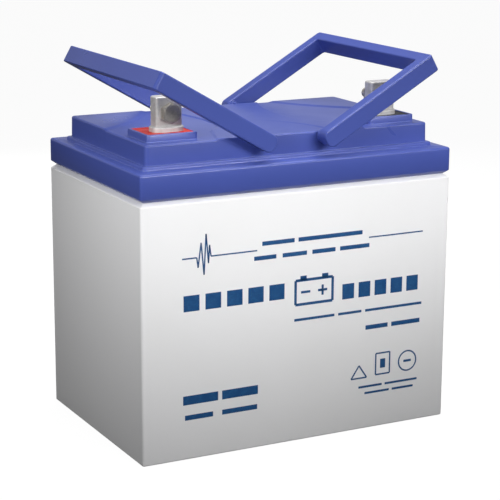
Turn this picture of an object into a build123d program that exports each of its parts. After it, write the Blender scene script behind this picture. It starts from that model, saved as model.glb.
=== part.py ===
from build123d import *
import os
from math import cos, radians, sin

# Sealed 12 V deep cycle battery, U1 size, with two folding handles.
# The origin is the middle of the underside, +X runs along the long side,
# +Y towards the back and +Z up.  The terminals are near the front corners.

os.makedirs("parts", exist_ok=True)

# ---- driving dimensions, millimetres -----------------------------------

# container
container_length = 196.0
container_width = 131.0
container_height = 147.0
container_wall = 4.6
floor_thickness = 3.0
corner_radius = 3.2
base_radius = 1.5
partition = 2.0
cell_count = 6

# joint between container and lid: a tongue glued into a groove
joint_chamfer = 3.0
tongue_inset = 3.4
tongue_height = 6.0
tongue_corner_radius = 0.5
glue_side = 0.2
glue_top = 0.5
groove_lip = 1.6

# lid
flange_height = 15.6
flange_edge_radius = 1.4
plinth_end_ledge = 6.3
plinth_side_ledge = 10.0
plinth_height = 2.2
plinth_edge_radius = 0.9
deck_thickness = 3.0

# top cover, the raised block on the lid
cover_end_step = 2.2
cover_side_step = 2.0
cover_height = 12.0
cover_wall = 2.5
cover_corner_radius = 2.5
cover_edge_radius = 1.0
cover_draft = 1.0
dish_depth = 0.8
dish_radius = 33.2
dish_end_margin = 1.0
dish_y = -2.0
dish_back_slope = 8.5
corner_arc_radius = 115.0
corner_arc_past_end = 59.5
corner_arc_past_side = 48.5

# terminals
boss_end_margin = 4.65
boss_side_margin = 7.75
boss_length = 30.5
boss_width = 27.5
boss_height = 3.2
boss_rim = 1.5
boss_corner_radius = 2.0
boss_opening_radius = 1.5
boss_edge_radius = 0.5
tower_clearance = 0.2
fill_depth = 4.1
fill_below_rim = 0.4
post_off_boss_x = 1.4
post_off_boss_y = 2.2
post_length = 16.0
post_width = 8.9
post_corner_radius = 2.0
post_edge_radius = 0.9
post_rise = 16.4
collar_margin = 1.5
collar_rise = 3.0
collar_corner_radius = 5.0
stem_off_boss_x = 1.4
stem_radius = 5.0
stem_clearance = 0.2
seal_ring_radius = 1.15
seal_ring_gap = 0.05

# terminal bolts and nuts
bolt_radius = 3.0
thread_meeting_radius = 2.65
bolt_length = 20.0
bolt_hole_radius = 3.3
bolt_below_post_top = 8.8
hex_across_flats = 10.0
hex_chamfer = 0.5
bolt_head_height = 4.0
nut_height = 5.0
nut_clearance = 0.05

# folding handles
hinge_x = 19.6
hinge_below_cover_top = 3.3
handle_angle = 30.0
handle_side_inset = 1.1
handle_end_inset = 0.8
handle_height = 10.3
arm_thickness = 8.0
grip_clearance = 0.7
handle_edge_radius = 0.8
handle_corner_radius = 2.0
handle_inner_radius = 1.5
arm_end_back = 4.0
arm_end_radius = 3.9
pivot_radius = 2.0
pivot_clearance = 0.05
pivot_depth = 8.5
pivot_end_gap = 0.5
hub_radius = 4.0
hub_clearance = 0.3
pivot_block_length = 13.0

# relief valves, one over each cell
valve_y = 12.0
neck_radius = 5.2
neck_bore = 2.5
neck_height = 6.0
cap_wall = 1.3
cap_top = 1.4
cap_skirt = 5.2
cap_clearance = 0.05
cap_side_gap = 0.75

# plates and glass mats in each cell
positive_count = 4
negative_thickness = 2.0
mat_thickness = 0.95
stack_gap = 0.53
mat_side_gap = 1.1
mat_past_plate_side = 2.0
mat_past_plate_top = 5.0
head_space = 14.5
mat_above_floor = 1.5
plate_above_mat_fold = 0.05
lug_width = 12.0
lug_height = 9.0
strap_width = 14.0
strap_height = 6.0
link_radius = 4.5
link_clearance = 0.1
link_wall_gap = 0.1
link_pad_thickness = 2.5
link_pad_height = 12.0
riser_radius = 5.5
riser_clearance = 0.1
stem_bottom_above_container = 3.0

# ---- sizes that follow from them ----------------------------------------

cell_width = container_width - 2 * container_wall
cell_length = (container_length - 2 * container_wall - (cell_count - 1) * partition) / cell_count
cell_pitch = cell_length + partition
cell_centres = [(cell - (cell_count - 1) / 2) * cell_pitch for cell in range(cell_count)]

groove_outer_inset = tongue_inset - glue_side
groove_inner_inset = container_wall + glue_side
skirt = groove_inner_inset + groove_lip

flange_top = container_height + flange_height
plinth_top = flange_top + plinth_height
plinth_length = container_length - 2 * plinth_end_ledge
plinth_width = container_width - 2 * plinth_side_ledge
cover_top = plinth_top + cover_height
cover_length = plinth_length - 2 * cover_end_step
cover_width = plinth_width - 2 * cover_side_step
dish_x = cover_length / 2 - dish_end_margin - dish_radius
dish_back_x = dish_x - dish_radius + dish_back_slope
corner_arc_x = cover_length / 2 + corner_arc_past_end
corner_arc_y = cover_width / 2 + corner_arc_past_side
rim_top = cover_top + boss_height
fill_top = rim_top - fill_below_rim
tower_top = fill_top - fill_depth
post_top = fill_top + collar_rise + post_rise
boss_x = cover_length / 2 - boss_end_margin - boss_length / 2
boss_y = boss_side_margin + boss_width / 2 - cover_width / 2
post_x = boss_x - post_off_boss_x
post_y = boss_y - post_off_boss_y
end_cell_edge = cell_centres[-1] - cell_length / 2
stem_x = max(boss_x + stem_off_boss_x, end_cell_edge + riser_radius + riser_clearance)
bolt_z = post_top - bolt_below_post_top

hinge_z = cover_top - hinge_below_cover_top
handle_half_width = container_width / 2 - handle_side_inset
handle_reach = container_length / 2 - handle_end_inset - hinge_x
grip_thickness = hinge_x + handle_reach - cover_length / 2 - grip_clearance

cap_outer = neck_radius + cap_clearance + cap_wall
valve_span = cover_length - 2 * (cover_wall + cap_side_gap + cap_outer)
valve_pitch = valve_span / (cell_count - 1)
valve_places = [(cell - (cell_count - 1) / 2) * valve_pitch for cell in range(cell_count)]

strap_y = -post_y
strap_top = container_height - head_space
strap_bottom = strap_top - strap_height
plate_bottom = floor_thickness + mat_above_floor + mat_thickness + plate_above_mat_fold
plate_top = strap_bottom - lug_height
plate_height = plate_top - plate_bottom
mat_width = cell_width - 2 * mat_side_gap
mat_height = plate_height + mat_past_plate_top
plate_width = mat_width - 2 * mat_past_plate_side
stem_bottom = container_height + stem_bottom_above_container
layer_pitch = (cell_length - 2 * stack_gap - negative_thickness) / positive_count
positive_thickness = layer_pitch - negative_thickness - 2 * mat_thickness


def boss_opening(extra=0.0):
    """Outline of a terminal boss's opening, smaller all round by extra."""
    inset = boss_rim + extra
    RectangleRounded(boss_length - 2 * inset, boss_width - 2 * inset, boss_opening_radius)


def strap_side(cell, polarity):
    """Straps swap sides from cell to cell, so that neighbours meet through the partition."""
    front = (cell % 2 == 0) == (polarity == "positive")
    return -strap_y if front else strap_y


# ---- container: one moulding with five partitions -------------------------

with BuildPart() as container:
    with BuildSketch():
        RectangleRounded(container_length, container_width, corner_radius)
    extrude(amount=container_height)
    chamfer(container.faces().sort_by(Axis.Z)[-1].edges(), joint_chamfer)
    fillet(container.faces().sort_by(Axis.Z)[0].edges(), base_radius)
    with BuildSketch(Plane.XY.offset(container_height)):
        RectangleRounded(
            container_length - 2 * tongue_inset,
            container_width - 2 * tongue_inset,
            tongue_corner_radius,
        )
        Rectangle(container_length - 2 * container_wall, cell_width, mode=Mode.SUBTRACT)
    extrude(amount=tongue_height)
    with BuildSketch(Plane.XY.offset(floor_thickness)):
        with GridLocations(cell_pitch, 0, cell_count, 1):
            Rectangle(cell_length, cell_width)
    extrude(amount=container_height, mode=Mode.SUBTRACT)
    # holes in the partitions for the links between cells
    for cell in range(cell_count - 1):
        with BuildSketch(Plane.YZ.offset(cell_centres[cell] + cell_pitch / 2)):
            with Locations((strap_side(cell, "negative"), strap_top + link_pad_height / 2)):
                Circle(link_radius + link_clearance)
        extrude(amount=partition, both=True, mode=Mode.SUBTRACT)
container.part.label = "container"
export_step(container.part, "parts/container.step")

# ---- glue that fills the groove round the container's tongue ----------------

with BuildPart() as joint_glue:
    with BuildSketch(Plane.XY.offset(container_height)):
        RectangleRounded(
            container_length - 2 * groove_outer_inset,
            container_width - 2 * groove_outer_inset,
            tongue_corner_radius + glue_side,
        )
        Rectangle(
            container_length - 2 * groove_inner_inset,
            container_width - 2 * groove_inner_inset,
            mode=Mode.SUBTRACT,
        )
    extrude(amount=tongue_height + glue_top)
    with BuildSketch(Plane.XY.offset(container_height)):
        RectangleRounded(
            container_length - 2 * tongue_inset,
            container_width - 2 * tongue_inset,
            tongue_corner_radius,
        )
        Rectangle(container_length - 2 * container_wall, cell_width, mode=Mode.SUBTRACT)
    extrude(amount=tongue_height, mode=Mode.SUBTRACT)
joint_glue.part.label = "joint_glue"
export_step(joint_glue.part, "parts/joint_glue.step")

# ---- lid: skirt, deck with plinth, ribs, vent necks and terminal towers -----

with BuildPart() as lid:
    with BuildSketch(Plane.XY.offset(container_height)):
        RectangleRounded(container_length, container_width, corner_radius)
    extrude(amount=flange_height)
    chamfer(lid.faces().sort_by(Axis.Z)[0].edges(), joint_chamfer)
    fillet(lid.faces().sort_by(Axis.Z)[-1].edges(), flange_edge_radius)
    with BuildSketch(Plane.XY.offset(flange_top)):
        RectangleRounded(plinth_length, plinth_width, cover_corner_radius)
    extrude(amount=plinth_height)
    fillet(lid.faces().sort_by(Axis.Z)[-1].edges(), plinth_edge_radius)
    # hollow under the flange, then under the plinth
    with BuildSketch(Plane.XY.offset(container_height)):
        Rectangle(container_length - 2 * skirt, container_width - 2 * skirt)
    extrude(amount=flange_height - deck_thickness, mode=Mode.SUBTRACT)
    with BuildSketch(Plane.XY.offset(flange_top - deck_thickness)):
        Rectangle(plinth_length - 2 * deck_thickness, plinth_width - 2 * deck_thickness)
    extrude(amount=plinth_height, mode=Mode.SUBTRACT)
    # groove for the container's tongue
    with BuildSketch(Plane.XY.offset(container_height)):
        RectangleRounded(
            container_length - 2 * groove_outer_inset,
            container_width - 2 * groove_outer_inset,
            tongue_corner_radius + glue_side,
        )
        Rectangle(
            container_length - 2 * groove_inner_inset,
            container_width - 2 * groove_inner_inset,
            mode=Mode.SUBTRACT,
        )
    extrude(amount=tongue_height + glue_top, mode=Mode.SUBTRACT)
    # ribs that close each cell on the container's partitions
    with BuildSketch(Plane.XY.offset(container_height)):
        with GridLocations(cell_pitch, 0, cell_count - 1, 1):
            Rectangle(partition, container_width - 2 * skirt + groove_lip)
    extrude(amount=plinth_top - deck_thickness - container_height)
    # vent necks
    with BuildSketch(Plane.XY.offset(plinth_top - deck_thickness)):
        with Locations((0, valve_y)):
            with GridLocations(valve_pitch, 0, cell_count, 1):
                Circle(neck_radius)
    extrude(amount=deck_thickness + neck_height)
    with BuildSketch(Plane.XY.offset(plinth_top - deck_thickness)):
        with Locations((0, valve_y)):
            with GridLocations(valve_pitch, 0, cell_count, 1):
                Circle(neck_bore)
    extrude(amount=deck_thickness + neck_height, mode=Mode.SUBTRACT)
    # terminal towers, each with a bore for the stem and a seat for its seal ring
    with BuildSketch(Plane.XY.offset(plinth_top - deck_thickness)):
        with Locations((-boss_x, boss_y), (boss_x, boss_y)):
            boss_opening(tower_clearance)
    extrude(amount=tower_top - plinth_top + deck_thickness)
    with BuildSketch(Plane.XY.offset(plinth_top - deck_thickness)):
        with Locations((-stem_x, post_y), (stem_x, post_y)):
            Circle(stem_radius + stem_clearance)
    extrude(amount=tower_top, mode=Mode.SUBTRACT)
    with BuildSketch(Plane.XY.offset(tower_top)):
        with Locations((-stem_x, post_y), (stem_x, post_y)):
            Circle(stem_radius + 2 * (seal_ring_radius + seal_ring_gap))
    extrude(amount=-2 * (seal_ring_radius + seal_ring_gap), mode=Mode.SUBTRACT)
lid.part.label = "lid"
export_step(lid.part, "parts/lid.step")

# ---- top cover: dished shell with terminal bosses and pivot blocks ----------

with BuildPart() as top_cover:
    with BuildSketch(Plane.XY.offset(plinth_top)):
        RectangleRounded(cover_length, cover_width, cover_corner_radius)
    extrude(amount=cover_height, taper=cover_draft)
    fillet(top_cover.faces().sort_by(Axis.Z)[-1].edges(), cover_edge_radius)
    # a shallow dish round each terminal, bounded by a ring and by the raised back corner
    for side in (-1, 1):
        with BuildSketch(Plane.XY.offset(cover_top)):
            with Locations((side * dish_x, dish_y)):
                Circle(dish_radius)
            with BuildLine():
                Polyline(
                    (side * (dish_x - dish_radius), dish_y),
                    (side * dish_back_x, cover_width / 2),
                    (side * cover_length / 2, cover_width / 2),
                    (side * cover_length / 2, dish_y),
                    close=True,
                )
            make_face()
            with Locations((side * corner_arc_x, corner_arc_y)):
                Circle(corner_arc_radius, mode=Mode.SUBTRACT)
        extrude(amount=-dish_depth, mode=Mode.SUBTRACT)
    with BuildSketch(Plane.XY.offset(plinth_top)):
        Rectangle(cover_length - 2 * cover_wall, cover_width - 2 * cover_wall)
    extrude(amount=cover_height - cover_wall, mode=Mode.SUBTRACT)
    # blocks behind the long walls that carry the handles' pivots
    with BuildSketch(Plane.XY.offset(plinth_top)):
        with GridLocations(2 * hinge_x, cover_width - cover_wall - pivot_depth, 2, 2):
            Rectangle(pivot_block_length, pivot_depth - cover_wall)
    extrude(amount=cover_height - cover_wall)
    with BuildSketch(Plane.XZ):
        with Locations((-hinge_x, hinge_z), (hinge_x, hinge_z)):
            Circle(pivot_radius + pivot_clearance)
    extrude(amount=cover_width, both=True, mode=Mode.SUBTRACT)
    # terminal bosses
    with BuildSketch(Plane.XY.offset(cover_top - cover_wall)):
        with Locations((-boss_x, boss_y), (boss_x, boss_y)):
            RectangleRounded(boss_length, boss_width, boss_corner_radius)
    extrude(amount=cover_wall + boss_height)
    fillet(top_cover.faces().filter_by(Plane.XY).sort_by(Axis.Z)[-2:].edges(), boss_edge_radius)
    with BuildSketch(Plane.XY.offset(plinth_top)):
        with Locations((-boss_x, boss_y), (boss_x, boss_y)):
            boss_opening()
    extrude(amount=cover_height + boss_height, mode=Mode.SUBTRACT)
top_cover.part.label = "top_cover"
export_step(top_cover.part, "parts/top_cover.step")

# ---- terminals: lead posts, their seal rings and the coloured epoxy fill ----

for name, side in (("positive", -1), ("negative", 1)):
    with BuildPart() as terminal:
        with BuildSketch(Plane.XY.offset(tower_top)):
            with Locations((side * post_x, post_y)):
                RectangleRounded(
                    post_length + 2 * collar_margin,
                    post_width + 2 * collar_margin,
                    collar_corner_radius,
                )
        extrude(amount=fill_depth + collar_rise)
        fillet(terminal.faces().sort_by(Axis.Z)[-1].edges(), post_edge_radius)
        with BuildSketch(Plane.XY.offset(fill_top)):
            with Locations((side * post_x, post_y)):
                RectangleRounded(post_length, post_width, post_corner_radius)
        extrude(amount=collar_rise + post_rise)
        fillet(terminal.faces().sort_by(Axis.Z)[-1].edges(), post_edge_radius)
        with BuildSketch(Plane.XY.offset(stem_bottom)):
            with Locations((side * stem_x, post_y)):
                Circle(stem_radius)
        extrude(amount=tower_top - stem_bottom)
        with BuildSketch(Plane.XZ.offset(-post_y)):
            with Locations((side * post_x, bolt_z)):
                Circle(bolt_hole_radius)
        extrude(amount=post_width, both=True, mode=Mode.SUBTRACT)
    terminal.part.label = f"terminal_{name}"
    export_step(terminal.part, f"parts/terminal_{name}.step")

    with BuildPart() as terminal_fill:
        with BuildSketch(Plane.XY.offset(tower_top)):
            with Locations((side * boss_x, boss_y)):
                boss_opening()
            with Locations((side * post_x, post_y)):
                RectangleRounded(
                    post_length + 2 * collar_margin,
                    post_width + 2 * collar_margin,
                    collar_corner_radius,
                    mode=Mode.SUBTRACT,
                )
        extrude(amount=fill_depth)
    terminal_fill.part.label = f"terminal_fill_{name}"
    export_step(terminal_fill.part, f"parts/terminal_fill_{name}.step")

    with BuildPart() as seal_ring:
        ring_radius = stem_radius + seal_ring_radius + seal_ring_gap
        ring_place = (side * stem_x, post_y, tower_top - seal_ring_radius - seal_ring_gap)
        with Locations(ring_place):
            Torus(ring_radius, seal_ring_radius)
    seal_ring.part.label = f"seal_ring_{name}"
    export_step(seal_ring.part, f"parts/seal_ring_{name}.step")

# ---- terminal bolts and nuts, one pair for each post ------------------------

post_front = post_y - post_width / 2
post_back = post_y + post_width / 2
hex_radius = hex_across_flats / 2 / cos(radians(30))

with BuildPart() as terminal_bolts:
    with BuildSketch(Plane.XZ.offset(-post_front)):
        with Locations((-post_x, bolt_z), (post_x, bolt_z)):
            RegularPolygon(hex_radius, 6)
    extrude(amount=bolt_head_height)
    chamfer(terminal_bolts.faces().sort_by(Axis.Y)[0:2].edges(), hex_chamfer)
    with BuildSketch(Plane.XZ.offset(-post_front)):
        with Locations((-post_x, bolt_z), (post_x, bolt_z)):
            Circle(bolt_radius)
    extrude(amount=-bolt_length)
    chamfer(terminal_bolts.faces().sort_by(Axis.Y)[-2:].edges(), hex_chamfer)
    # inside the nut the two threads meet part way down their depth
    with BuildSketch(Plane.XZ.offset(-post_back)):
        with Locations((-post_x, bolt_z), (post_x, bolt_z)):
            Circle(hex_radius)
            Circle(thread_meeting_radius, mode=Mode.SUBTRACT)
    extrude(amount=-nut_height, mode=Mode.SUBTRACT)
terminal_bolts.part.label = "terminal_bolts"
export_step(terminal_bolts.part, "parts/terminal_bolts.step")

with BuildPart() as terminal_nuts:
    with BuildSketch(Plane.XZ.offset(-post_back)):
        with Locations((-post_x, bolt_z), (post_x, bolt_z)):
            RegularPolygon(hex_radius, 6)
    extrude(amount=-nut_height)
    chamfer(terminal_nuts.faces().sort_by(Axis.Y)[-2:].edges(), hex_chamfer)
    with BuildSketch(Plane.XZ.offset(-post_back)):
        with Locations((-post_x, bolt_z), (post_x, bolt_z)):
            Circle(thread_meeting_radius + nut_clearance)
    extrude(amount=-nut_height, mode=Mode.SUBTRACT)
terminal_nuts.part.label = "terminal_nuts"
export_step(terminal_nuts.part, "parts/terminal_nuts.step")

# ---- folding handles: U-shaped frames with stub pivots moulded on -----------

handle_inner_half = handle_half_width - arm_thickness
hub_end = cover_width / 2 + hub_clearance
pivot_end = cover_width / 2 - pivot_depth + pivot_end_gap
frame_back = -arm_end_back
frame_edge_radius = min(handle_edge_radius, grip_thickness / 4)

for name, side in (("left", -1), ("right", 1)):
    frame_plane = Plane(
        origin=(side * hinge_x, 0, hinge_z),
        x_dir=(side * cos(radians(handle_angle)), 0, sin(radians(handle_angle))),
        z_dir=(-side * sin(radians(handle_angle)), 0, cos(radians(handle_angle))),
    )
    with BuildPart() as handle:
        with BuildSketch(frame_plane):
            with BuildLine():
                FilletPolyline(
                    (frame_back, -handle_half_width),
                    (handle_reach, -handle_half_width),
                    (handle_reach, handle_half_width),
                    (frame_back, handle_half_width),
                    radius=handle_corner_radius,
                )
                Line((frame_back, handle_half_width), (frame_back, handle_inner_half))
                FilletPolyline(
                    (frame_back, handle_inner_half),
                    (handle_reach - grip_thickness, handle_inner_half),
                    (handle_reach - grip_thickness, -handle_inner_half),
                    (frame_back, -handle_inner_half),
                    radius=handle_inner_radius,
                )
                Line((frame_back, -handle_inner_half), (frame_back, -handle_half_width))
            make_face()
        extrude(amount=handle_height / 2, both=True)
        # rounded arm ends
        end_corners = handle.edges().filter_by(Axis.Y)
        end_corners = end_corners.sort_by_distance((side * hinge_x, 0, hinge_z))[0:4]
        fillet(end_corners, arm_end_radius)
        fillet(
            handle.faces().filter_by(lambda face: abs(face.normal_at().dot(frame_plane.z_dir)) > 0.99)
            .edges(),
            frame_edge_radius,
        )
        for way in (-1, 1):
            with BuildSketch(Plane.XZ.offset(-way * (handle_inner_half + arm_thickness / 2))):
                with Locations((side * hinge_x, hinge_z)):
                    Circle(hub_radius)
            extrude(amount=way * (handle_inner_half + arm_thickness / 2 - hub_end))
            with BuildSketch(Plane.XZ.offset(-way * (handle_inner_half + arm_thickness / 2))):
                with Locations((side * hinge_x, hinge_z)):
                    Circle(pivot_radius)
            extrude(amount=way * (handle_inner_half + arm_thickness / 2 - pivot_end))
    handle.part.label = f"handle_{name}"
    export_step(handle.part, f"parts/handle_{name}.step")

# ---- relief valve caps, one on each vent neck -------------------------------

neck_top = plinth_top + neck_height

for cell in range(cell_count):
    with BuildPart() as valve_cap:
        with BuildSketch(Plane.XY.offset(neck_top - cap_skirt)):
            with Locations((valve_places[cell], valve_y)):
                Circle(cap_outer)
        extrude(amount=cap_skirt + cap_top)
        with BuildSketch(Plane.XY.offset(neck_top - cap_skirt)):
            with Locations((valve_places[cell], valve_y)):
                Circle(neck_radius + cap_clearance)
        extrude(amount=cap_skirt, mode=Mode.SUBTRACT)
    valve_cap.part.label = f"valve_cap_{cell + 1}"
    export_step(valve_cap.part, f"parts/valve_cap_{cell + 1}.step")

# ---- plate groups and glass mats, a set in each cell ------------------------

for cell in range(cell_count):
    centre = cell_centres[cell]
    positives = [centre + (n - (positive_count - 1) / 2) * layer_pitch for n in range(positive_count)]
    negatives = [centre + (n - positive_count / 2) * layer_pitch for n in range(positive_count + 1)]
    strap_length = positive_count * layer_pitch + negative_thickness

    for polarity, places, thickness in (
        ("positive", positives, positive_thickness),
        ("negative", negatives, negative_thickness),
    ):
        side_y = strap_side(cell, polarity)
        with BuildPart() as plates:
            with BuildSketch(Plane.XY.offset(plate_bottom)):
                with Locations(*[(x, 0) for x in places]):
                    Rectangle(thickness, plate_width)
            extrude(amount=plate_height)
            with BuildSketch(Plane.XY.offset(plate_top)):
                with Locations(*[(x, side_y) for x in places]):
                    Rectangle(thickness, lug_width)
            extrude(amount=lug_height)
            with BuildSketch(Plane.XY.offset(strap_bottom)):
                with Locations((centre, side_y)):
                    Rectangle(strap_length, strap_width)
            extrude(amount=strap_height)
        plates.part.label = f"{polarity}_plates_{cell + 1}"
        export_step(plates.part, f"parts/{polarity}_plates_{cell + 1}.step")

    mat_bottom = floor_thickness + mat_above_floor
    with BuildPart() as glass_mats:
        with BuildSketch(Plane.XY.offset(mat_bottom)):
            with Locations(*[(x, 0) for x in positives]):
                Rectangle(positive_thickness + 2 * mat_thickness, mat_width)
        extrude(amount=mat_height)
        with BuildSketch(Plane.XY.offset(mat_bottom + mat_thickness)):
            with Locations(*[(x, 0) for x in positives]):
                Rectangle(positive_thickness, mat_width)
        extrude(amount=mat_height, mode=Mode.SUBTRACT)
    glass_mats.part.label = f"glass_mats_{cell + 1}"
    export_step(glass_mats.part, f"parts/glass_mats_{cell + 1}.step")

# ---- lead links through the partitions --------------------------------------

with BuildPart() as cell_links:
    for cell in range(cell_count - 1):
        wall_x = cell_centres[cell] + cell_pitch / 2
        link_y = strap_side(cell, "negative")
        link_z = strap_top + link_pad_height / 2
        pad_offset = partition / 2 + link_wall_gap
        with BuildSketch(Plane.YZ.offset(wall_x)):
            with Locations((link_y, link_z)):
                Circle(link_radius)
        extrude(amount=pad_offset + link_pad_thickness, both=True)
        for way in (-1, 1):
            with BuildSketch(Plane.YZ.offset(wall_x + way * pad_offset)):
                with Locations((link_y, link_z)):
                    Rectangle(strap_width, link_pad_height)
            extrude(amount=way * link_pad_thickness)
cell_links.part.label = "cell_links"
export_step(cell_links.part, "parts/cell_links.step")

# ---- risers from the end straps up to the terminal stems --------------------

for name, side in (("positive", -1), ("negative", 1)):
    with BuildPart() as riser:
        with BuildSketch(Plane.XY.offset(strap_top)):
            with Locations((side * stem_x, post_y)):
                Circle(riser_radius)
        extrude(amount=stem_bottom - strap_top)
    riser.part.label = f"terminal_riser_{name}"
    export_step(riser.part, f"parts/terminal_riser_{name}.step")
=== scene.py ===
from math import cos, exp, hypot, pi, radians, sin, sqrt, tan

import bmesh
import bpy
from mathutils import Matrix, Vector


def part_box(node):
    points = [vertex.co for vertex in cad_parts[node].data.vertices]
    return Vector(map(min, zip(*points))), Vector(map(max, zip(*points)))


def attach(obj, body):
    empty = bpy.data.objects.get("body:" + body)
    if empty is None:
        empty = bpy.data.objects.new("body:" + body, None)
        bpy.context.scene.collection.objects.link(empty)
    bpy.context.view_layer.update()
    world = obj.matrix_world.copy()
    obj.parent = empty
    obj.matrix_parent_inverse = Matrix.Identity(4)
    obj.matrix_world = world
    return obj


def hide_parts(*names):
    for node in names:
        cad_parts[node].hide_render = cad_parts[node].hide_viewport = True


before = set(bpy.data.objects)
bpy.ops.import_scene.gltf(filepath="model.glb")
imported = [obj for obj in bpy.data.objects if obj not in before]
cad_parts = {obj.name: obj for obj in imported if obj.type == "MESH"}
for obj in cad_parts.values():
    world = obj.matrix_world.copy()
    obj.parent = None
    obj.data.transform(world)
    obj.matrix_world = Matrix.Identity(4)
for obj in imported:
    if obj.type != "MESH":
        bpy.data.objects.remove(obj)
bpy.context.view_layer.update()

# ---- Case ----------------------------------------------------------------------
# The case is one deep moulding in off-white ABS, with five walls across it that
# make six cells.  Its satin tool leaves a fine grain and faint flow marks.  The
# lid is glued over the tongue round its top.

mm = 0.001
case_low, case_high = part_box("container")
case_length = (case_high.x - case_low.x) / mm
case_width = (case_high.y - case_low.y) / mm
rim_top = 147.0
tongue_top = case_high.z / mm
print_allowance = 0.05
case_corner = 1.6
case_base_round = 0.9
base_steps = 5
groove_depth = 3.0
groove_rise = 2.2
tongue_inset = 3.4
tongue_corner = 0.1
wall = 4.6
cell_corner = 0.05
floor_thickness = 3.0
partition = 2.0
weld = 0.5
cells = 6
case_white = (0.84, 0.84, 0.85, 1)
case_cloud = (0.80, 0.80, 0.80, 1)
# Paler colour painted along the case's edges as a highlight.
case_edge_highlight = (0.90, 0.90, 0.91, 1)


def node(tree, kind, sockets, **settings):
    """One shader node.  A socket is given either a plain value or the output that feeds it."""
    made = tree.nodes.new(kind)
    for label, value in settings.items():
        setattr(made, label, value)
    for key, value in sockets.items():
        if isinstance(value, bpy.types.NodeSocket):
            tree.links.new(value, made.inputs[key])
        else:
            made.inputs[key].default_value = value
    return made


def colour_mix(tree, share, first, second):
    """The output of a node that goes from the first colour to the second."""
    made = node(tree, "ShaderNodeMix", {}, data_type="RGBA")
    for place, value in ((0, share), (6, first), (7, second)):
        if isinstance(value, bpy.types.NodeSocket):
            tree.links.new(value, made.inputs[place])
        else:
            made.inputs[place].default_value = value
    return made.outputs[2]


def arithmetic(tree, operation, *values):
    """The output of a Math node with these values or outputs on its sockets."""
    return node(tree, "ShaderNodeMath", dict(enumerate(values)), operation=operation).outputs[0]


def stretch(tree, value, low, high, to_low=0.0, to_high=1.0):
    """A value moved from one range to another with soft ends, and held inside it."""
    sockets = {"Value": value, "From Min": low, "From Max": high, "To Min": to_low, "To Max": to_high}
    return node(tree, "ShaderNodeMapRange", sockets, interpolation_type="SMOOTHSTEP").outputs[0]


def effect_group(name, inputs, outputs):
    """A node group with its named sockets made, and the nodes that hold them."""
    group = bpy.data.node_groups.new(name, "ShaderNodeTree")
    for label, value in inputs.items():
        kind = "NodeSocketColor" if isinstance(value, tuple) else "NodeSocketFloat"
        group.interface.new_socket(label, in_out="INPUT", socket_type=kind).default_value = value
    for label, kind in outputs.items():
        group.interface.new_socket(label, in_out="OUTPUT", socket_type=kind)
    return group, group.nodes.new("NodeGroupInput").outputs, group.nodes.new("NodeGroupOutput").inputs


def moulded_plastic():
    """Grain from the tool, cloudy flow marks, and a paler colour painted along the edges as a
    highlight, where the finish is also smoother.
    """
    group, given, result = effect_group(
        "moulded_plastic",
        {
            "Colour": (0.5, 0.5, 0.5, 1),
            "Cloud Colour": (0.4, 0.4, 0.4, 1),
            "Worn Colour": (0.6, 0.6, 0.6, 1),
            "Grain": 2000.0,
            "Clouds": 30.0,
            "Edge Width": 0.0008,
            "Wear": 0.5,
            "Roughness": 0.4,
        },
        {"Colour": "NodeSocketColor", "Roughness": "NodeSocketFloat", "Height": "NodeSocketFloat"},
    )
    place = node(group, "ShaderNodeTexCoord", {}).outputs["Object"]
    grain_sockets = {"Vector": place, "Scale": given["Grain"], "Detail": 2.0, "Roughness": 0.6}
    grain = node(group, "ShaderNodeTexNoise", grain_sockets).outputs[0]
    cloud_sockets = {"Vector": place, "Scale": given["Clouds"], "Detail": 3.0, "Distortion": 0.6}
    clouds = node(group, "ShaderNodeTexNoise", cloud_sockets).outputs[0]
    rounded = node(group, "ShaderNodeBevel", {"Radius": given["Edge Width"]}, samples=8)
    flat = node(group, "ShaderNodeNewGeometry", {}).outputs["Normal"]
    turned = node(
        group, "ShaderNodeVectorMath", {0: rounded.outputs[0], 1: flat}, operation="DOT_PRODUCT"
    ).outputs["Value"]
    still_flat, fully_turned = 0.999, 0.9
    edge = stretch(group, turned, still_flat, fully_turned)
    patchy = stretch(group, clouds, 0.2, 0.8, 0.5, 1.0)
    # The edge mask paints a paler colour on the edges as a highlight, and makes them a little
    # smoother.
    edge_highlight = arithmetic(group, "MULTIPLY", arithmetic(group, "MULTIPLY", edge, patchy), given["Wear"])
    cloud_share = stretch(group, clouds, 0.2, 0.85, 0.0, 0.6)
    clouded = colour_mix(group, cloud_share, given["Colour"], given["Cloud Colour"])
    group.links.new(colour_mix(group, edge_highlight, clouded, given["Worn Colour"]), result["Colour"])
    cloud_roughness, edge_roughness = 0.12, -0.12
    uneven = arithmetic(group, "MULTIPLY_ADD", cloud_share, cloud_roughness, given["Roughness"])
    rough = arithmetic(group, "MULTIPLY_ADD", edge_highlight, edge_roughness, uneven)
    group.links.new(rough, result["Roughness"])
    group.links.new(grain, result["Height"])
    return group


def finish_material(name, group, grain_height, shader_sockets, **given):
    """A material made from one effect group, which drives a Principled shader."""
    material = bpy.data.materials.new(name)
    material.use_nodes = True
    tree = material.node_tree
    shader = tree.nodes["Principled BSDF"]
    effect = node(tree, "ShaderNodeGroup", {}, node_tree=group)
    for label, value in given.items():
        effect.inputs[label.replace("_", " ")].default_value = value
    for label, value in shader_sockets.items():
        shader.inputs[label].default_value = value
    tree.links.new(effect.outputs["Colour"], shader.inputs["Base Color"])
    tree.links.new(effect.outputs["Roughness"], shader.inputs["Roughness"])
    bump_sockets = {"Strength": 1.0, "Distance": grain_height, "Height": effect.outputs["Height"]}
    bump = node(tree, "ShaderNodeBump", bump_sockets)
    tree.links.new(bump.outputs[0], shader.inputs["Normal"])
    return material


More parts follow.
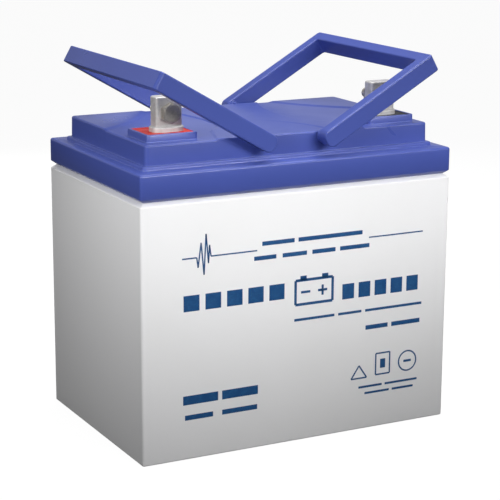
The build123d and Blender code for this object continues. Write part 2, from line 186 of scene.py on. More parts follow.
def outline(length, width, radius, steps=6, centre=(0.0, 0.0)):
    """A rounded rectangle's points in millimetres, anticlockwise, with arcs at its corners."""
    points = []
    for corner, (way_x, way_y) in enumerate(((1, 1), (-1, 1), (-1, -1), (1, -1))):
        middle_x = centre[0] + way_x * (length / 2 - radius)
        middle_y = centre[1] + way_y * (width / 2 - radius)
        for step in range(steps + 1):
            turn = (corner + step / steps) * pi / 2
            points.append((middle_x + radius * cos(turn), middle_y + radius * sin(turn)))
    return points


def level(points, z):
    """Flat points set at one height."""
    return [(x, y, z) for x, y in points]


def bridge(bm, lower, upper):
    """Quads between two rings that have the same number of corners."""
    count = len(lower)
    for i in range(count):
        j = (i + 1) % count
        bm.faces.new((lower[i], lower[j], upper[j], upper[i]))


def stack(bm, rings, closed_ends=True):
    """Quads between rings of points in millimetres, bottom ring first, and a face at each end."""
    made = [[bm.verts.new([value * mm for value in point]) for point in ring] for ring in rings]
    for lower, upper in zip(made, made[1:]):
        bridge(bm, lower, upper)
    if closed_ends:
        bm.faces.new(list(reversed(made[0])))
        bm.faces.new(made[-1])
    return made


def block(bm, low, high):
    """A wall between two corners in millimetres."""
    (x0, y0, z0), (x1, y1, z1) = low, high
    foot = ((x0, y0), (x1, y0), (x1, y1), (x0, y1))
    stack(bm, [level(foot, z) for z in (z0, z1)])


def make_piece(name, bm, material, body="battery", replaces=(), smooth=35.0):
    """The mesh as an object, smooth up to an angle, on its body and in place of its CAD nodes."""
    bmesh.ops.recalc_face_normals(bm, faces=bm.faces)
    mesh = bpy.data.meshes.new(name)
    bm.to_mesh(mesh)
    bm.free()
    mesh.materials.append(material)
    piece = bpy.data.objects.new(name, mesh)
    bpy.context.scene.collection.objects.link(piece)
    mesh.shade_smooth()
    mesh.set_sharp_from_angle(angle=radians(smooth))
    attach(piece, body)
    if replaces:
        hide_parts(*replaces)


def coat(material, *node_names):
    """Gives CAD nodes their finish."""
    for node_name in node_names:
        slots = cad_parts[node_name].data.materials
        slots.clear()
        slots.append(material)


plastic = moulded_plastic()
white_plastic = finish_material(
    "white_moulding",
    plastic,
    0.00001,
    {"Specular IOR Level": 0.45},
    Colour=case_white,
    Cloud_Colour=case_cloud,
    Worn_Colour=case_edge_highlight,
    Grain=1600.0,
    Clouds=14.0,
    Edge_Width=0.001,
    Wear=0.5,
    Roughness=0.42,
)

case = bmesh.new()
skin_length = case_length - 2 * print_allowance
skin_width = case_width - 2 * print_allowance
case_rings = []
for step in range(base_steps + 1):
    turn = step / base_steps * pi / 2
    inset = case_base_round * (1 - sin(turn))
    height = case_base_round * (1 - cos(turn))
    case_rings.append((inset, case_corner - inset, height))
case_rings += [
    (0.0, case_corner, rim_top - groove_rise),
    (groove_depth, tongue_corner, rim_top),
    (tongue_inset, tongue_corner, rim_top),
    (tongue_inset, tongue_corner, tongue_top),
    (wall, cell_corner, tongue_top),
    (wall, cell_corner, floor_thickness),
]
stack(
    case,
    [
        level(outline(skin_length - 2 * inset, skin_width - 2 * inset, radius), z)
        for inset, radius, z in case_rings
    ],
)
cell_pitch = (case_length - 2 * wall - (cells - 1) * partition) / cells + partition
for number in range(cells - 1):
    middle = (number - (cells - 2) / 2) * cell_pitch
    reach = case_width / 2 - wall + weld
    low = (middle - partition / 2, -reach, floor_thickness - weld)
    block(case, low, (middle + partition / 2, reach, rim_top))
make_piece("case_moulding", case, white_plastic, replaces=["container"])

# ---- Plates and glass mats -----------------------------------------------------
# Each cell holds four positive and five negative plates of pasted lead, with a
# felted glass mat folded round every positive.  Cast lead straps join them, and
# lead links go through the walls from cell to cell.

positive_paste = (0.13, 0.055, 0.035, 1)
positive_dust = (0.2, 0.1, 0.06, 1)
negative_paste = (0.24, 0.25, 0.27, 1)
negative_dust = (0.33, 0.34, 0.36, 1)
mat_white = (0.86, 0.86, 0.83, 1)
mat_shade = (0.74, 0.74, 0.70, 1)
lead_grey = (0.30, 0.31, 0.33, 1)
lead_bright = (0.46, 0.47, 0.49, 1)


def dull_surface():
    """A matt surface in two mixed colours, with fine pits or fibres."""
    group, given, result = effect_group(
        "dull_surface",
        {
            "Colour": (0.5, 0.5, 0.5, 1),
            "Second Colour": (0.4, 0.4, 0.4, 1),
            "Pits": 900.0,
            "Patches": 60.0,
            "Length": 1.0,
            "Roughness": 0.7,
        },
        {"Colour": "NodeSocketColor", "Roughness": "NodeSocketFloat", "Height": "NodeSocketFloat"},
    )
    place = node(group, "ShaderNodeTexCoord", {}).outputs["Object"]
    drawn = node(group, "ShaderNodeCombineXYZ", {"X": 1.0, "Y": 1.0, "Z": given["Length"]})
    drawn_out = node(
        group, "ShaderNodeVectorMath", {0: place, 1: drawn.outputs[0]}, operation="MULTIPLY"
    )
    pit_sockets = {"Vector": drawn_out.outputs[0], "Scale": given["Pits"], "Detail": 4.0}
    pits = node(group, "ShaderNodeTexNoise", pit_sockets).outputs[0]
    patch_sockets = {"Vector": place, "Scale": given["Patches"], "Detail": 4.0, "Distortion": 0.8}
    patches = node(group, "ShaderNodeTexNoise", patch_sockets).outputs[0]
    in_patch = stretch(group, patches, 0.35, 0.65)
    blend = arithmetic(group, "MULTIPLY", in_patch, stretch(group, pits, 0.2, 0.7))
    mixed = colour_mix(group, blend, given["Colour"], given["Second Colour"])
    group.links.new(mixed, result["Colour"])
    wide_patch = stretch(group, patches, 0.3, 0.7)
    patch_roughness = 0.14
    rough = arithmetic(group, "MULTIPLY_ADD", wide_patch, patch_roughness, given["Roughness"])
    group.links.new(rough, result["Roughness"])
    group.links.new(pits, result["Height"])
    return group


dull = dull_surface()
paste_pits = 0.00008
positive_material = finish_material(
    "positive_paste",
    dull,
    paste_pits,
    {},
    Colour=positive_paste,
    Second_Colour=positive_dust,
    Roughness=0.8,
)
negative_material = finish_material(
    "negative_paste",
    dull,
    paste_pits,
    {},
    Colour=negative_paste,
    Second_Colour=negative_dust,
    Roughness=0.7,
)
mat_material = finish_material(
    "glass_felt",
    dull,
    0.00015,
    {"Sheen Weight": 0.3},
    Colour=mat_white,
    Second_Colour=mat_shade,
    Pits=1500.0,
    Length=0.25,
    Roughness=0.85,
)
lead_material = finish_material(
    "cast_lead",
    dull,
    0.00006,
    {"Metallic": 0.85},
    Colour=lead_grey,
    Second_Colour=lead_bright,
    Pits=500.0,
    Roughness=0.42,
)
for number in range(1, cells + 1):
    coat(positive_material, f"positive_plates_{number}")
    coat(negative_material, f"negative_plates_{number}")
    coat(mat_material, f"glass_mats_{number}")
coat(lead_material, "cell_links", "terminal_riser_positive", "terminal_riser_negative")

# ---- Lid -----------------------------------------------------------------------
# The lid is a moulding in blue polypropylene, glued over the case's tongue with
# black epoxy.  Its tool was polished more than the case's, so it has a low shine,
# and a paler colour is painted along its edges as a highlight.

lid_blue = (0.060, 0.089, 0.350, 1)
lid_cloud = (0.052, 0.079, 0.315, 1)
# Pale blue painted along the lid's and handles' edges as a highlight.
lid_edge_highlight = (0.30, 0.36, 0.74, 1)
glue_black = (0.02, 0.02, 0.022, 1)
glue_bloom = (0.04, 0.04, 0.042, 1)

blue_plastic = finish_material(
    "blue_moulding",
    plastic,
    0.00001,
    {"Specular IOR Level": 0.42},
    Colour=lid_blue,
    Cloud_Colour=lid_cloud,
    Worn_Colour=lid_edge_highlight,
    Grain=1300.0,
    Clouds=22.0,
    Edge_Width=0.0006,
    Wear=0.55,
    Roughness=0.27,
)
glue_material = finish_material(
    "joint_glue",
    dull,
    0.00003,
    {},
    Colour=glue_black,
    Second_Colour=glue_bloom,
    Roughness=0.3,
)
coat(glue_material, "joint_glue")

lid_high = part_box("lid")[1]
flange_top = 162.6
plinth_top = 164.8
tower_top = lid_high.z / mm
lid_wall = 3.0
deck_under = plinth_top - lid_wall
flange_under = flange_top - lid_wall
glue_gap = 0.5
groove_top = tongue_top + glue_gap
groove_outside, groove_inside, skirt_inside = 3.2, 4.8, 6.4
plinth_length, plinth_width, plinth_corner = 183.4, 111.0, 2.5
flange_round, plinth_round = 1.4, 0.9
lip, lip_drop = 0.15, 0.1
plinth_fillet, fillet_middle = 0.5, 0.12


def lid_ring(inset, radius, z):
    """A level outline this far inside the lid's own."""
    return level(outline(case_length - 2 * inset, case_width - 2 * inset, radius), z)


def plinth_ring(inset, z, radius=None):
    """A level outline this far inside the plinth's."""
    corner = plinth_corner - inset if radius is None else radius
    return level(outline(plinth_length - 2 * inset, plinth_width - 2 * inset, corner), z)


lid_rings = [
    plinth_ring(lid_wall, deck_under, tongue_corner),
    plinth_ring(lid_wall, flange_under, tongue_corner),
    lid_ring(skirt_inside, tongue_corner, flange_under),
    lid_ring(skirt_inside, tongue_corner, rim_top),
    lid_ring(groove_inside, tongue_corner, rim_top),
    lid_ring(groove_inside, tongue_corner, groove_top),
    lid_ring(groove_outside, tongue_corner, groove_top),
    lid_ring(groove_outside, tongue_corner, rim_top),
    lid_ring(groove_depth, lip, rim_top),
    lid_ring(lip, case_corner - lip, rim_top + groove_rise - lip_drop),
    lid_ring(0.0, case_corner, rim_top + groove_rise + lip),
]
round_steps = 5
for step in range(round_steps + 1):
    turn = step / round_steps * pi / 2
    inset = flange_round * (1 - cos(turn))
    z = flange_top - flange_round * (1 - sin(turn))
    lid_rings.append(lid_ring(inset, case_corner - inset, z))
lid_rings += [
    plinth_ring(-plinth_fillet, flange_top),
    plinth_ring(-fillet_middle, flange_top + fillet_middle),
    plinth_ring(0.0, flange_top + plinth_fillet),
]
for step in range(round_steps + 1):
    turn = step / round_steps * pi / 2
    inset = plinth_round * (1 - cos(turn))
    lid_rings.append(plinth_ring(inset, plinth_top - plinth_round * (1 - sin(turn))))
lid = bmesh.new()
stack(lid, lid_rings)
for number in range(cells - 1):
    middle = (number - (cells - 2) / 2) * cell_pitch
    reach = case_width / 2 - skirt_inside + weld
    low = (middle - partition / 2, -reach, rim_top)
    block(lid, low, (middle + partition / 2, reach, flange_under + weld))


def hoop(bm, rings):
    """Quads between rings, and from the last ring back to the first, like a wall round a hole."""
    made = stack(bm, rings, closed_ends=False)
    bridge(bm, made[-1], made[0])


neck_radius, neck_bore, neck_edge = 5.2, 2.5, 0.4
neck_y, neck_pitch, neck_top = 12.0, 31.88, plinth_top + 6.0
neck_points = 32
neck_turns = [2 * pi * i / neck_points for i in range(neck_points)]
for number in range(cells):
    middle = (number - (cells - 1) / 2) * neck_pitch
    neck_rings = []
    for radius, z in (
        (neck_bore, deck_under + weld),
        (neck_radius, deck_under + weld),
        (neck_radius, neck_top - neck_edge),
        (neck_radius - neck_edge, neck_top),
        (neck_bore, neck_top),
    ):
        circle = [(middle + radius * cos(turn), neck_y + radius * sin(turn)) for turn in neck_turns]
        neck_rings.append(level(circle, z))
    hoop(lid, neck_rings)
tower_x, tower_y = 69.6, -32.0
tower_length, tower_width, tower_corner = 27.1, 24.1, 1.5
for side in (-1, 1):
    foot = outline(tower_length, tower_width, tower_corner, centre=(side * tower_x, tower_y))
    stack(lid, [level(foot, z) for z in (deck_under + weld, tower_top)])
make_piece("lid_moulding", lid, blue_plastic, replaces=["lid"])

# ---- Valve caps and seal rings -------------------------------------------------
# A black rubber cap sits on each of the six necks and lets gas out at a set
# pressure.  The rings are round rubber ones, pressed into a seat round each stem.

rubber_black = (0.018, 0.018, 0.02, 1)
rubber_bloom = (0.06, 0.06, 0.062, 1)
rubber_material = finish_material(
    "moulded_rubber",
    dull,
    0.00003,
    {"Specular IOR Level": 0.35},
    Colour=rubber_black,
    Second_Colour=rubber_bloom,
    Patches=140.0,
    Roughness=0.6,
)
coat(rubber_material, "seal_ring_positive", "seal_ring_negative")
for number in range(1, cells + 1):
    coat(rubber_material, f"valve_cap_{number}")

# ---- Top cover -----------------------------------------------------------------
# The top cover is a second blue moulding over the valves.  Its top has a shallow
# dish round each terminal, and a facet that falls to the front between them.  A
# square boss stands round each terminal's well.

cover_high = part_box("top_cover")[1]
cover_top = 176.8
boss_top = cover_high.z / mm
cover_half_length = cover_high.x / mm
cover_half_width = cover_high.y / mm
draft_angle = radians(1.0)
cover_draft = tan(draft_angle) * (cover_top - plinth_top)
cover_edge = 1.0
cover_corner = 2.5
cover_wall = 2.5
cover_under = cover_top - cover_wall
boss_x, boss_y = 69.6, -32.0
boss_length, boss_width = 30.5, 27.5
boss_wall = 1.5
boss_corner = 2.0
boss_edge = 0.5
well_corner = 1.5
cover_spacing = 0.7
dish_step = 0.6
dish_fall = 0.3
dish_edge_width = 0.9
facet_fall = 0.5


def smooth_step(value):
    """0 below 0, 1 above 1, and an even curve between."""
    held = min(max(value, 0.0), 1.0)
    return held * held * (3 - 2 * held)


def dish_edge_x(y):
    """How far from the middle a dish begins: a long arc, then a round end, then straight."""
    side, round_y, long_y = 24.3, -2.0, 1.0
    round_radius, long_radius, turn_y = 31.0, 150.0, -27.0
    front_run = 0.36
    if y > long_y:
        return side + long_radius - sqrt(long_radius**2 - (y - long_y) ** 2)
    if y > round_y:
        return side
    reach = sqrt(round_radius**2 - (max(y, turn_y) - round_y) ** 2)
    return side + round_radius - reach + front_run * max(turn_y - y, 0.0)


def cover_height(x, y):
    """Height of the cover's top surface at a place, all in millimetres."""
    across = abs(x)
    slope = dish_edge_x(y + 0.5) - dish_edge_x(y - 0.5)
    past_ring = (across - dish_edge_x(y)) / hypot(1.0, slope)
    back_arc_x, back_arc_y, back_arc = 149.0, 102.0, 115.0
    past_corner = hypot(across - back_arc_x, y - back_arc_y) - back_arc
    back_slope = 4.0
    dish = smooth_step(past_ring / dish_edge_width) * smooth_step(past_corner / back_slope)
    fall_from_x, fall_over_x, fall_from_y, fall_over_y = 30, 60, 20, 74
    outward = ((across - fall_from_x) / fall_over_x + (fall_from_y - y) / fall_over_y) / 2
    height = cover_top - dish * (dish_step + dish_fall * max(outward, 0.0))
    apex_y, facet_half, facet_width, facet_bend = -4.0, 25.0, 1.6, 0.85
    if y < apex_y:
        along = (apex_y - y) / (cover_half_width + apex_y)
        inside = facet_half * sin(pi / 2 * along**facet_bend) - across
        height -= facet_fall * along * smooth_step(inside / facet_width)
    return height


def in_boss(x, y, inset):
    """Whether a place lies inside a boss's outline, drawn in by inset."""
    beside = abs(abs(x) - boss_x) < boss_length / 2 - inset
    return beside and abs(y - boss_y) < boss_width / 2 - inset


def rounded_corner(x, y, half_length, half_width, radius):
    """Moves a place in a square corner into the rounded corner, and leaves any other."""
    a = abs(x) - (half_length - radius)
    b = abs(y) - (half_width - radius)
    if a <= 0 or b <= 0:
        return x, y
    turn = pi / 4 * b / a if a >= b else pi / 2 - pi / 4 * a / b
    reach = max(a, b)
    new_x = half_length - radius + reach * cos(turn)
    new_y = half_width - radius + reach * sin(turn)
    return (new_x if x > 0 else -new_x), (new_y if y > 0 else -new_y)


def grown(x, y, half_length, half_width, radius, outward):
    """A place on a rounded rectangle's outline, moved straight out from it."""
    core_x = min(max(x, radius - half_length), half_length - radius)
    core_y = min(max(y, radius - half_width), half_width - radius)
    reach = hypot(x - core_x, y - core_y)
    grow = (reach + outward) / reach
    return core_x + (x - core_x) * grow, core_y + (y - core_y) * grow


cover = bmesh.new()
flat_half_length = cover_half_length - cover_draft - cover_edge
flat_half_width = cover_half_width - cover_draft - cover_edge
flat_corner = cover_corner - cover_edge
columns = round(2 * flat_half_length / cover_spacing)
rows = round(2 * flat_half_width / cover_spacing)
shrink = cover_wall - cover_edge
shrink_power = 15
top_points, under_points = {}, {}
for column in range(columns + 1):
    for row in range(rows + 1):
        x = (2 * column / columns - 1) * flat_half_length
        y = (2 * row / rows - 1) * flat_half_width
        x, y = rounded_corner(x, y, flat_half_length, flat_half_width, flat_corner)
        top_points[column, row] = cover.verts.new((x * mm, y * mm, cover_height(x, y) * mm))
        under_x = x - shrink * (x / flat_half_length) ** shrink_power
        under_y = y - shrink * (y / flat_half_width) ** shrink_power
        under_points[column, row] = cover.verts.new((under_x * mm, under_y * mm, cover_under * mm))
open_sides = set()
for column in range(columns):
    for row in range(rows):
        corners = [(column, row), (column + 1, row), (column + 1, row + 1), (column, row + 1)]
        middle_x = sum(top_points[corner].co.x for corner in corners) / 4 / mm
        middle_y = sum(top_points[corner].co.y for corner in corners) / 4 / mm
        if in_boss(middle_x, middle_y, boss_wall / 2):
            continue
        cover.faces.new([top_points[corner] for corner in corners])
        cover.faces.new([under_points[corner] for corner in reversed(corners)])
        for start, end in zip(corners, corners[1:] + corners[:1]):
            if (end, start) in open_sides:
                open_sides.remove((end, start))
            else:
                open_sides.add((start, end))
border = [(column, 0) for column in range(columns)]
border += [(columns, row) for row in range(rows)]
border += [(column, rows) for column in range(columns, 0, -1)]
border += [(0, row) for row in range(rows, 0, -1)]
on_border = set(border)
for start, end in sorted(open_sides):
    if start in on_border and end in on_border:
        continue
    cover.faces.new((top_points[end], top_points[start], under_points[start], under_points[end]))
loops = [[top_points[place] for place in border]]
edge_steps = 5
sizes = (flat_half_length, flat_half_width, flat_corner)
for step in range(1, edge_steps + 2):
    turn = min(step / edge_steps, 1.0) * pi / 2
    loop = []
    for place in border:
        point = top_points[place].co / mm
        outward = cover_edge * sin(turn)
        z = point.z - cover_edge * (1 - cos(turn))
        if step > edge_steps:
            outward += cover_draft
            z = plinth_top
        x, y = grown(point.x, point.y, *sizes, outward)
        loop.append(cover.verts.new((x * mm, y * mm, z * mm)))
    loops.append(loop)
foot = []
for place in border:
    point = under_points[place].co
    foot.append(cover.verts.new((point.x, point.y, plinth_top * mm)))
loops += [foot, [under_points[place] for place in border]]
for inner, outer in zip(loops, loops[1:]):
    bridge(cover, inner, outer)
edge_middle = 0.3 * boss_edge
well_edge = 0.3
for side in (-1, 1):
    centre = (side * boss_x, boss_y)
    boss_rings = []
    for inset, corner, z in (
        (0.0, boss_corner, cover_under),
        (0.0, boss_corner, boss_top - boss_edge),
        (edge_middle, boss_corner - edge_middle, boss_top - edge_middle),
        (boss_edge, boss_corner - boss_edge, boss_top),
        (boss_wall - well_edge, well_corner + 0.1, boss_top),
        (boss_wall - well_edge / 3, well_corner, boss_top - well_edge / 3),
        (boss_wall, well_corner, boss_top - well_edge),
        (boss_wall, well_corner, cover_under),
    ):
        flat_ring = outline(boss_length - 2 * inset, boss_width - 2 * inset, corner, centre=centre)
        boss_rings.append(level(flat_ring, z))
    hoop(cover, boss_rings)
make_piece("top_cover_moulding", cover, blue_plastic, replaces=["top_cover"])

# ---- Terminals -----------------------------------------------------------------
# Each terminal is a cast lead post on a thick collar, with its stem run down to
# the strap of its end cell.  The well round it is filled with coloured epoxy,
# red for positive and black for negative, which creeps up the walls a little.

post_grey = (0.60, 0.59, 0.58, 1)
post_dark = (0.44, 0.43, 0.42, 1)
red_epoxy = (0.62, 0.018, 0.004, 1)
black_epoxy = (0.012, 0.012, 0.014, 1)
fill_below_boss, fill_depth = 0.4, 4.1
fill_top = boss_top - fill_below_boss
fill_bottom = fill_top - fill_depth
fill_hollow = 0.1
fill_middle = fill_top - fill_hollow
fill_creep = 0.25
creep_reach = 0.8
deeper_share = 0.75
post_x, post_y = 68.2, -34.2
collar_length, collar_width, collar_corner = 19.0, 11.9, 5.0

post_material = finish_material(
    "cast_post",
    dull,
    0.00005,
    {"Metallic": 0.3},
    Colour=post_grey,
    Second_Colour=post_dark,
    Pits=420.0,
    Patches=130.0,
    Roughness=0.34,
)
coat(post_material, "terminal_positive", "terminal_negative")
for side, polarity, colour in ((-1, "positive", red_epoxy), (1, "negative", black_epoxy)):
    deeper = tuple(value * deeper_share for value in colour[:3]) + (1,)
    epoxy = finish_material(
        f"{polarity}_epoxy",
        dull,
        0.00004,
        {"Specular IOR Level": 0.15, "Coat Weight": 0.05, "Coat Roughness": 0.2},
        Colour=colour,
        Second_Colour=deeper,
        Pits=160.0,
        Patches=90.0,
        Roughness=0.3,
    )
    inner = outline(collar_length, collar_width, collar_corner, centre=(side * post_x, post_y))
    well = (boss_length - 2 * boss_wall, boss_width - 2 * boss_wall)
    outer = outline(*well, well_corner, centre=(side * boss_x, boss_y))
    fill_rings = [level(inner, fill_bottom), level(outer, fill_bottom)]
    for share in (1.0, 0.97, 0.92, 0.82, 0.5, 0.18, 0.08, 0.03, 0.0):
        ring = []
        for (inner_x, inner_y), (outer_x, outer_y) in zip(inner, outer):
            gap = hypot(outer_x - inner_x, outer_y - inner_y)
            from_wall = min(share, 1 - share) * gap
            z = fill_middle + fill_creep * exp(-from_wall / creep_reach)
            x = inner_x + share * (outer_x - inner_x)
            y = inner_y + share * (outer_y - inner_y)
            ring.append((x, y, z))
        fill_rings.append(ring)
    fill = bmesh.new()
    hoop(fill, fill_rings)
    make_piece(f"epoxy_{polarity}", fill, epoxy, replaces=[f"terminal_fill_{polarity}"])

# ---- Bolts and nuts ------------------------------------------------------------
# A zinc plated M6 hexagon bolt goes through each post from the front, with a nut
# behind it.  Heads and nuts are forged, with the corners turned off at 30
# degrees, and the thread is rolled.

bolt_z = 190.2
post_front, post_back = -38.65, -29.75
across_flats = 10.0
head_height = 4.0
nut_height = 5.0
bolt_radius = 3.0
thread_depth = 0.61
thread_pitch = 1.0
rings_per_turn = 10
flank_steepness = 1.25
lead_in_length = 0.6
bolt_end = -18.65
corner_slope = tan(radians(30))
rim_width = 0.15
face_inset = 1.6
zinc = (0.50, 0.47, 0.42, 1)
zinc_dull = (0.35, 0.33, 0.29, 1)
zinc_material = finish_material(
    "zinc_plate",
    dull,
    0.00002,
    {"Metallic": 0.7},
    Colour=zinc,
    Second_Colour=zinc_dull,
    Pits=700.0,
    Patches=240.0,
    Roughness=0.3,
)


def hexagon_ring(height, chamfer_from, steps=10):
    """Points round a hexagon in x, y and how high its chamfered edge reaches there."""
    ring = []
    for side_number in range(6):
        for step in range(steps):
            turn = (step / steps - 0.5) * pi / 3
            reach = across_flats / 2 / cos(turn)
            angle = side_number * pi / 3 + turn
            drop = max(reach - chamfer_from, 0.0) * corner_slope
            ring.append((reach * cos(angle), reach * sin(angle), height - drop))
    return ring


def on_axis(side, ring, from_y, way):
    """A ring drawn round the origin, laid round a bolt's own axis."""
    return [(side * post_x + way * a, from_y + way * h, bolt_z + b) for a, b, h in ring]


def flat_circle(radius, height):
    """Points round a circle, starting where the hexagon's ring starts."""
    return [(radius * cos(turn), radius * sin(turn), height) for turn in round_turns]


chamfer_from = across_flats / 2 * 0.94
rim_radius = chamfer_from - rim_width
nut_bore = bolt_radius - 0.1
nut_countersink = 0.6
points_round = 60
round_turns = [-pi / 6 + 2 * pi * i / points_round for i in range(points_round)]
bolts, nuts = bmesh.new(), bmesh.new()
for side in (-1, 1):
    head = [
        [(a, b, 0.0) for a, b, h in hexagon_ring(0.0, across_flats)],
        hexagon_ring(head_height, chamfer_from),
        flat_circle(rim_radius, head_height),
        flat_circle(chamfer_from - face_inset, head_height),
    ]
    stack(bolts, [on_axis(side, ring, post_front, -1) for ring in head])
    plain_end = nut_height + post_back - post_front
    shank = [flat_circle(bolt_radius, -0.3), flat_circle(bolt_radius, plain_end)]
    thread_end = bolt_end - post_front
    thread_rings = int((thread_end - plain_end) / thread_pitch * rings_per_turn)
    for step in range(1, thread_rings + 1):
        along = plain_end + (thread_end - plain_end) * step / thread_rings
        widest = bolt_radius - max(0.0, along - thread_end + lead_in_length)
        ring = []
        for i, turn in enumerate(round_turns):
            phase = (along / thread_pitch - i / points_round) % 1.0
            deep = min(1.0, flank_steepness * (1 - abs(2 * phase - 1)))
            radius = min(bolt_radius - thread_depth * deep, widest)
            if step == thread_rings:
                radius = widest
            ring.append((radius * cos(turn), radius * sin(turn), along))
        shank.append(ring)
    stack(bolts, [on_axis(side, ring, post_front, 1) for ring in shank])
    nut_rings = [
        flat_circle(nut_bore, 0.0),
        flat_circle(rim_radius, 0.0),
        [(a, b, nut_height - h) for a, b, h in hexagon_ring(nut_height, chamfer_from)],
        hexagon_ring(nut_height, chamfer_from),
        flat_circle(rim_radius, nut_height),
        flat_circle(nut_bore + nut_countersink, nut_height),
        flat_circle(nut_bore, nut_height - nut_countersink),
    ]
    hoop(nuts, [on_axis(side, ring, post_back, 1) for ring in nut_rings])
make_piece("bolts", bolts, zinc_material, replaces=["terminal_bolts"], smooth=25.0)
make_piece("nuts", nuts, zinc_material, replaces=["terminal_nuts"], smooth=25.0)

# ---- Handles -------------------------------------------------------------------
# Each handle is one blue moulding, a square loop with two stub pins that snap
# into the cover's long sides.  The real one folds flat round the terminal boss;
# here it stays where the CAD put it and only gets its blue finish.

coat(blue_plastic, "handle_left", "handle_right")

# ---- Printed front -------------------------------------------------------------
# The front is screen printed in one pass of dark blue ink, as plain bars, rules
# and simple outlines.  The film stands a twentieth of a millimetre proud of the
# case.

ink_navy = (0.008, 0.060, 0.185, 1)
ink_thin = (0.012, 0.085, 0.230, 1)
front_y = case_low.y / mm
ink_material = finish_material(
    "printed_ink",
    dull,
    0.000005,
    {"Specular IOR Level": 0.4},
    Colour=ink_navy,
    Second_Colour=ink_thin,
    Pits=1200.0,
    Patches=260.0,
    Roughness=0.38,
)
ink = bmesh.new()


def ink_patch(points):
    """A film of ink over a flat outline of x, z points in millimetres."""
    film = [[(x, y, z) for x, z in points] for y in (front_y, front_y + 2 * print_allowance)]
    stack(ink, film)


def ink_bar(left, right, low, high):
    """A film of ink over an upright rectangle."""
    ink_patch(((left, low), (right, low), (right, high), (left, high)))


def ink_line(points, width):
    """A film of ink along a bent line of even width."""
    for (x0, z0), (x1, z1) in zip(points, points[1:]):
        long = hypot(x1 - x0, z1 - z0)
        across_x = (z1 - z0) / long * width / 2
        across_z = (x0 - x1) / long * width / 2
        ink_patch(
            (
                (x0 + across_x, z0 + across_z),
                (x1 + across_x, z1 + across_z),
                (x1 - across_x, z1 - across_z),
                (x0 - across_x, z0 - across_z),
            )
        )


def ink_row(low, high, *spans):
    """A row of bars with gaps between them, as words have."""
    for left, right in spans:
        ink_bar(left, right, low, high)


rule_z, rule_width = 114.7, 0.8
sign_width, battery_width = 0.9, 1.6
square_size, square_pitch, square_low = 9.6, 13.2, 85.0
bar_size, bar_pitch, bar_low, row_height = 7.8, 10.8, 80.0, 9.0
pulse_start = [(-73.8, rule_z), (-65.0, rule_z), (-64.2, 109.0), (-62.4, 122.8), (-60.6, 104.7)]
pulse_end = [(-60.6, 104.7), (-59.4, 127.4), (-57.9, 110.9), (-57.3, 121.1), (-56.4, rule_z)]
ink_line(pulse_start, rule_width)
ink_line(pulse_end, rule_width)
ink_row(rule_z - rule_width / 2, rule_z + rule_width / 2, (-56.4, -28.0), (44.0, 80.5))
ink_row(117.0, 119.4, (-24.9, -4.5), (-2.0, 39.6))
ink_row(109.0, 111.4, (-29.9, -16.0), (-12.0, 3.5), (7.0, 22.0), (25.0, 44.4))
for number in range(5):
    left = -73.0 + number * square_pitch
    ink_bar(left, left + square_size, square_low, square_low + row_height)
    left = 27.0 + number * bar_pitch
    ink_bar(left, left + bar_size, bar_low, bar_low + row_height)
battery_outline = [(-3.5, 80.5), (-3.5, 94.5), (20.5, 94.5), (20.5, 80.5), (-3.5, 80.5)]
ink_line(battery_outline, battery_width)
ink_row(94.5, 97.0, (-0.5, 3.5), (13.5, 17.5))
ink_bar(0.0, 6.0, 86.8, 88.2)
ink_bar(11.0, 17.0, 86.8, 88.2)
ink_bar(13.3, 14.7, 84.5, 90.5)
ink_row(70.9, 72.4, (-4.1, 22.0), (24.5, 40.0), (42.5, 81.0))
ink_row(60.0, 62.6, (43.0, 58.0), (60.5, 80.0))
ink_row(31.8, 37.0, (-73.5, -52.0), (-49.5, -27.0))
ink_row(22.9, 25.8, (-72.4, -55.1), (-49.5, -27.4))
ink_line([(34.0, 31.2), (44.4, 31.2), (39.2, 38.8), (34.0, 31.2)], sign_width)
sign_outline = [(50.5, 31.8), (60.0, 31.8), (60.0, 44.6), (50.5, 44.6), (50.5, 31.8)]
ink_line(sign_outline, sign_width)
ink_bar(53.5, 57.0, 35.5, 41.0)
ring_x, ring_z, ring_radius = 72.2, 37.5, 6.0
ring_turns = [i * pi / 12 for i in range(25)]
ring_points = [
    (ring_x + ring_radius * cos(turn), ring_z + ring_radius * sin(turn)) for turn in ring_turns
]
ink_line(ring_points, sign_width)
ink_bar(69.6, 74.8, 36.8, 38.2)
ink_row(24.9, 26.2, (39.1, 55.0), (57.0, 79.2))
ink_row(20.9, 22.2, (43.3, 60.0), (62.0, 76.6))
make_piece("front_print", ink, ink_material)

# ---- Floor ---------------------------------------------------------------------
# The battery stands on a plain pale sweep that goes well past everything.  It
# gives its own even light to the eye only, so it throws little back up.

floor_half = 30.0
floor_grey = (0.08, 0.08, 0.08, 1)
floor_glow = 0.95
floor_mesh = bpy.data.meshes.new("floor")
floor_bm = bmesh.new()
bmesh.ops.create_grid(floor_bm, x_segments=1, y_segments=1, size=floor_half)
floor_bm.to_mesh(floor_mesh)
floor_bm.free()
floor_object = bpy.data.objects.new("floor", floor_mesh)
bpy.context.scene.collection.objects.link(floor_object)
floor_material = bpy.data.materials.new("pale_sweep")
floor_material.use_nodes = True
floor_tree = floor_material.node_tree
floor_shader = floor_tree.nodes["Principled BSDF"]
floor_shader.inputs["Base Color"].default_value = floor_grey
floor_shader.inputs["Roughness"].default_value = 0.9
floor_shader.inputs["Specular IOR Level"].default_value = 0.0
floor_shader.inputs["Emission Color"].default_value = (1, 1, 1, 1)
seen = node(floor_tree, "ShaderNodeLightPath", {}).outputs["Is Camera Ray"]
own_light = arithmetic(floor_tree, "MULTIPLY", seen, floor_glow)
floor_tree.links.new(own_light, floor_shader.inputs["Emission Strength"])
floor_mesh.materials.append(floor_material)

# ---- Light ---------------------------------------------------------------------
# A wide soft box hangs over the battery, and another behind it lifts its back.
# Two long narrow ones wash the front and the left side from above.  The room is
# pale low down, most of all at the back, and dim above.

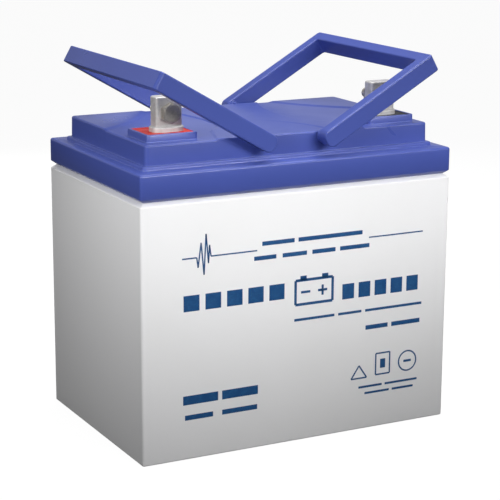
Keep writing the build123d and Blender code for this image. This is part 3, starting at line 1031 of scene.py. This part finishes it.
world = bpy.data.worlds.new("room")
bpy.context.scene.world = world
world.use_nodes = True
room = world.node_tree
background = room.nodes["Background"]
look = node(room, "ShaderNodeTexCoord", {}).outputs["Generated"]
parts = node(room, "ShaderNodeSeparateXYZ", {"Vector": look})
low_band = stretch(room, arithmetic(room, "ABSOLUTE", parts.outputs["Z"]), 0.5, 0.25)
far_side = stretch(room, parts.outputs["Y"], -0.2, 0.5, 0.25, 1.0)
band = arithmetic(room, "MULTIPLY", low_band, far_side)
band_strength, room_strength = 0.34, 0.11
glow = arithmetic(room, "MULTIPLY_ADD", band, band_strength, room_strength)
room.links.new(glow, background.inputs["Strength"])
background.inputs["Color"].default_value = (1, 1, 1, 1)


def soft_box(name, place, aim, width, height, power, spread):
    """A rectangular lamp at a place, aimed at a point."""
    lamp = bpy.data.lights.new(name, "AREA")
    lamp.shape = "RECTANGLE"
    lamp.size = width
    lamp.size_y = height
    lamp.energy = power
    lamp.spread = radians(spread)
    holder = bpy.data.objects.new(name, lamp)
    bpy.context.scene.collection.objects.link(holder)
    holder.location = place
    holder.rotation_euler = (Vector(aim) - Vector(place)).to_track_quat("-Z", "Y").to_euler()
    holder.visible_camera = False
    return holder


wide, narrow = 180, 55
soft_box("over_light", (0.05, 0.02, 0.62), (0.0, 0.0, 0.1), 0.5, 0.5, 3.4, wide)
soft_box("front_light", (0.14, -0.42, 0.30), (0.055, -0.065, 0.135), 0.50, 0.05, 0.305, narrow)
soft_box("left_light", (-0.43, -0.22, 0.30), (-0.098, -0.05, 0.155), 0.25, 0.05, 0.14, narrow)
rear = soft_box("back_light", (0.25, 0.75, 0.35), (0.0, 0.06, 0.09), 0.5, 0.4, 2.4, wide)
rear.visible_glossy = False

# ---- Camera --------------------------------------------------------------------
# The view is from the left front and a little above, through a long lens about a
# metre away, and very slightly rolled.

view_place = (-0.4531, -0.8652, 0.3348)
view_turn, view_fall, view_roll = radians(27.74), radians(13.64), radians(0.32)
forward = Vector((sin(view_turn) * cos(view_fall), cos(view_turn) * cos(view_fall), -sin(view_fall)))
level_right = Vector((cos(view_turn), -sin(view_turn), 0.0))
level_up = level_right.cross(forward)
right = level_right * cos(view_roll) + level_up * sin(view_roll)
up = level_up * cos(view_roll) - level_right * sin(view_roll)
lens = bpy.data.cameras.new("view")
lens.sensor_width = 36.0
lens.lens = 121.95
camera = bpy.data.objects.new("view", lens)
bpy.context.scene.collection.objects.link(camera)
facing = Matrix((right, up, -forward)).transposed().to_4x4()
camera.matrix_world = Matrix.Translation(view_place) @ facing
bpy.context.scene.camera = camera
bpy.context.scene.view_settings.view_transform = "Standard"
